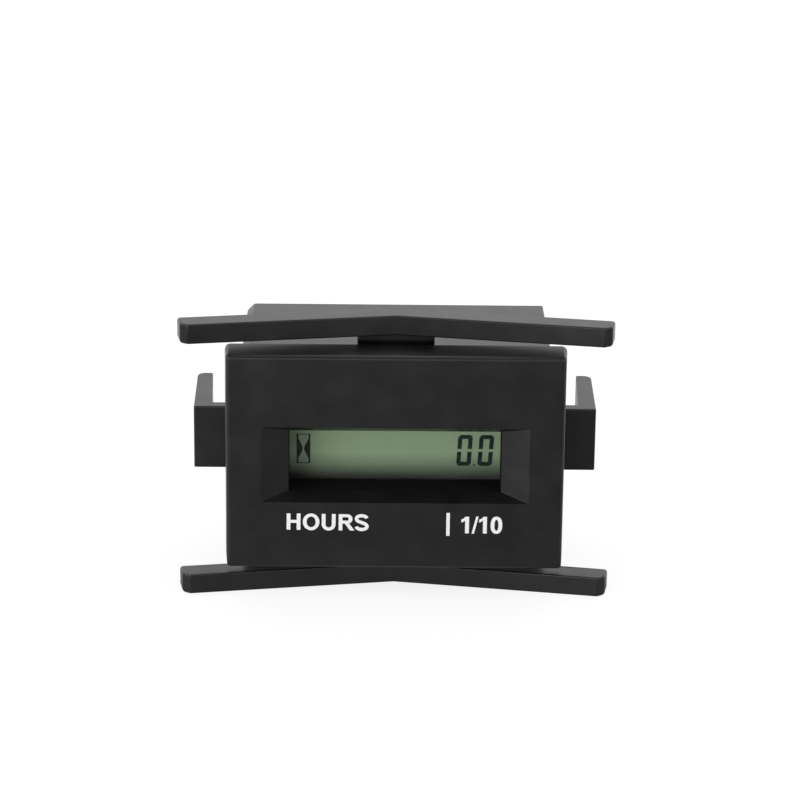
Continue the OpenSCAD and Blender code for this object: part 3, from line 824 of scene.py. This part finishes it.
def hourglass():
    """Two dark wedges that leave a light hourglass between them, inside a thin line above and below."""
    middle, half = (SIGN_LEFT + SIGN_RIGHT) / 2, (SIGN_HIGH + SIGN_LOW) / 2
    waist = middle - SIGN_LEFT - SIGN_NECK / 2
    inset = np.array([SIGN_WALL, SIGN_WALL, waist, waist, SIGN_WALL, SIGN_WALL])
    levels = np.array([SIGN_HIGH, SIGN_HIGH - SIGN_BULB, half + SIGN_NECK,
                       half - SIGN_NECK, SIGN_LOW + SIGN_BULB, SIGN_LOW])
    left = np.column_stack([SIGN_LEFT + inset, levels]), np.column_stack([np.full(6, SIGN_LEFT), levels])
    right = np.column_stack([np.full(6, SIGN_RIGHT), levels]), np.column_stack([SIGN_RIGHT - inset, levels])
    inner = SIGN_LEFT + SIGN_WALL, SIGN_RIGHT - SIGN_WALL
    lines = [(np.column_stack([inner, [z + SIGN_LINE] * 2]), np.column_stack([inner, [z] * 2]))
             for z in (SIGN_LOW, SIGN_HIGH - SIGN_LINE)]
    return [tuple(edge * MM for edge in edges) for edges in [left, right, *lines]]


film_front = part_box("front_polarizer")[0].y
lit_depths = film_front - SEGMENT_PROUD, film_front + SEGMENT_SUNK
zero = half_zero() + turned_over(half_zero(), FIGURE_H)
point_x = FIGURE_X[0] + FIGURE_W + POINT_GAP
point = upright(point_x, point_x + POINT, FIGURE_Z, FIGURE_Z + POINT)
lit = [band for x in FIGURE_X for band in leaning(zero, x, FIGURE_Z)]
lit.append(tuple(edge * MM for edge in point))
thin_piece("display_figures", lit, *lit_depths, SEGMENT_DARK, "display_film")
thin_piece("display_sign", hourglass(), *lit_depths, SEGMENT_DARK, "display_film")

# %% [markdown]
# Terminals and the pieces inside
#
# Two tin-plated blades stick out at the back. The rest sits in the closed body: glass, holder, rubber
# contact strips, board and its parts. They keep their solids and get finishes of their own, so that the meter
# is right when it is taken apart: drawn metal has a grain along one direction, rubber strips are layered, the
# board has tracks under its lacquer, and moulded cases are slightly speckled.

# %% Finishes of metal and moulded parts


def drawn_metal(name, colour, gloss, along):
    """Metal with a fine grain along one axis: noise stretched that way moves colour and roughness."""
    made, tree, shader = new_finish(name, Metallic=1.0)
    grain = noise(tree, 0.08 * MM, detail=4, stretch=along)
    dark = [0.8 * part for part in colour]
    tree.links.new(tint(tree, grain, dark, colour), shader.inputs["Base Color"])
    tree.links.new(remap(tree, grain, *gloss), shader.inputs["Roughness"])
    raise_bump(tree, shader, grain, 0.002 * MM)
    return made


def speckled(name, dark, light, gloss, size):
    """A moulded or fired case: two close colours in small spots, with a fine bump."""
    made, tree, shader = new_finish(name, Specular_IOR_Level=0.35)
    spots = noise(tree, size, detail=4)
    tree.links.new(tint(tree, spots, dark, light), shader.inputs["Base Color"])
    tree.links.new(remap(tree, spots, *gloss), shader.inputs["Roughness"])
    raise_bump(tree, shader, spots, 0.01 * MM)
    return made


def layered_rubber():
    """Contact strip: thin dark conducting layers in paler rubber, one after another along X."""
    made, tree, shader = new_finish("layered_rubber", Roughness=0.7, Specular_IOR_Level=0.25)
    wave = tree.nodes.new("ShaderNodeTexWave")
    wave.inputs["Scale"].default_value = 1
    wave.inputs["Distortion"].default_value = 0.2
    tree.links.new(object_place(tree, 0.8 * MM), wave.inputs["Vector"])
    colour = tint(tree, wave.outputs["Fac"], (0.02, 0.02, 0.022), (0.42, 0.36, 0.34))
    tree.links.new(colour, shader.inputs["Base Color"])
    return made


def lacquered_board():
    """Green lacquer over copper tracks: a brick pattern gives the tracks, and a noise the weave below."""
    made, tree, shader = new_finish("lacquered_board", Roughness=0.3)
    turn = tree.nodes.new("ShaderNodeMapping")
    turn.inputs["Rotation"].default_value = (math.radians(90), 0, 0)
    tracks = tree.nodes.new("ShaderNodeTexBrick")
    tracks.inputs["Scale"].default_value = 1
    tracks.inputs["Mortar Size"].default_value = 0.06
    tracks.inputs["Color1"].default_value = (0.012, 0.075, 0.03, 1)
    tracks.inputs["Color2"].default_value = (0.016, 0.09, 0.036, 1)
    tracks.inputs["Mortar"].default_value = (0.05, 0.2, 0.07, 1)
    tree.links.new(object_place(tree, 3 * MM), turn.inputs["Vector"])
    tree.links.new(turn.outputs["Vector"], tracks.inputs["Vector"])
    tree.links.new(tracks.outputs["Color"], shader.inputs["Base Color"])
    raise_bump(tree, shader, noise(tree, 0.3 * MM), 0.01 * MM)
    return made


# %% Dress the terminals and the inner pieces
ALONG_Y, ALONG_X, EVEN = (1, 14, 1), (14, 1, 1), (1, 1, 1)
FINISHES = {
    "left_terminal": drawn_metal("tin_plate", (0.74, 0.73, 0.69), (0.22, 0.4), ALONG_Y),
    "quartz_crystal": drawn_metal("drawn_can", (0.7, 0.7, 0.72), (0.2, 0.35), ALONG_X),
    "coin_cell": drawn_metal("cell_steel", (0.72, 0.72, 0.73), (0.2, 0.4), EVEN),
    "positive_cell_tab": drawn_metal("tab_nickel", (0.62, 0.6, 0.56), (0.3, 0.45), ALONG_X),
    "lcd_front_glass": clear_plate("display_glass", (0.94, 0.98, 0.95), GLASS_INDEX, 0.02),
    "rear_polarizer": drawn_metal("reflector", (0.6, 0.62, 0.6), (0.4, 0.55), EVEN),
    "lcd_holder": satin_black("holder_black", 0.012, 0.02, (0.45, 0.55), 0.006 * MM),
    "upper_contact_strip": layered_rubber(),
    "circuit_board": lacquered_board(),
    "controller_chip": speckled(
        "chip_epoxy", (0.012, 0.012, 0.013), (0.03, 0.03, 0.03), (0.5, 0.65), 0.1 * MM),
    "electrolytic_capacitor": speckled(
        "can_sleeve", (0.01, 0.014, 0.04), (0.02, 0.025, 0.06), (0.25, 0.35), MM),
    "film_capacitor": speckled(
        "film_case", (0.5, 0.33, 0.04), (0.62, 0.42, 0.07), (0.35, 0.45), 0.5 * MM),
    "chip_resistors": speckled(
        "resistor_glaze", (0.02, 0.02, 0.024), (0.06, 0.06, 0.07), (0.3, 0.5), 0.2 * MM),
    "chip_capacitors": speckled(
        "fired_ceramic", (0.3, 0.2, 0.12), (0.42, 0.3, 0.19), (0.4, 0.55), 0.15 * MM),
}
SAME_FINISH = {
    "right_terminal": "left_terminal", "negative_cell_tab": "positive_cell_tab",
    "lcd_rear_glass": "lcd_front_glass", "lower_contact_strip": "upper_contact_strip",
    "rectifier_diodes": "controller_chip",
}
for piece_name, piece_finish in FINISHES.items():
    dress(piece_name, piece_finish)
for piece_name, like in SAME_FINISH.items():
    dress(piece_name, FINISHES[like])
print("dressed", len(FINISHES) + len(SAME_FINISH), "more solids")
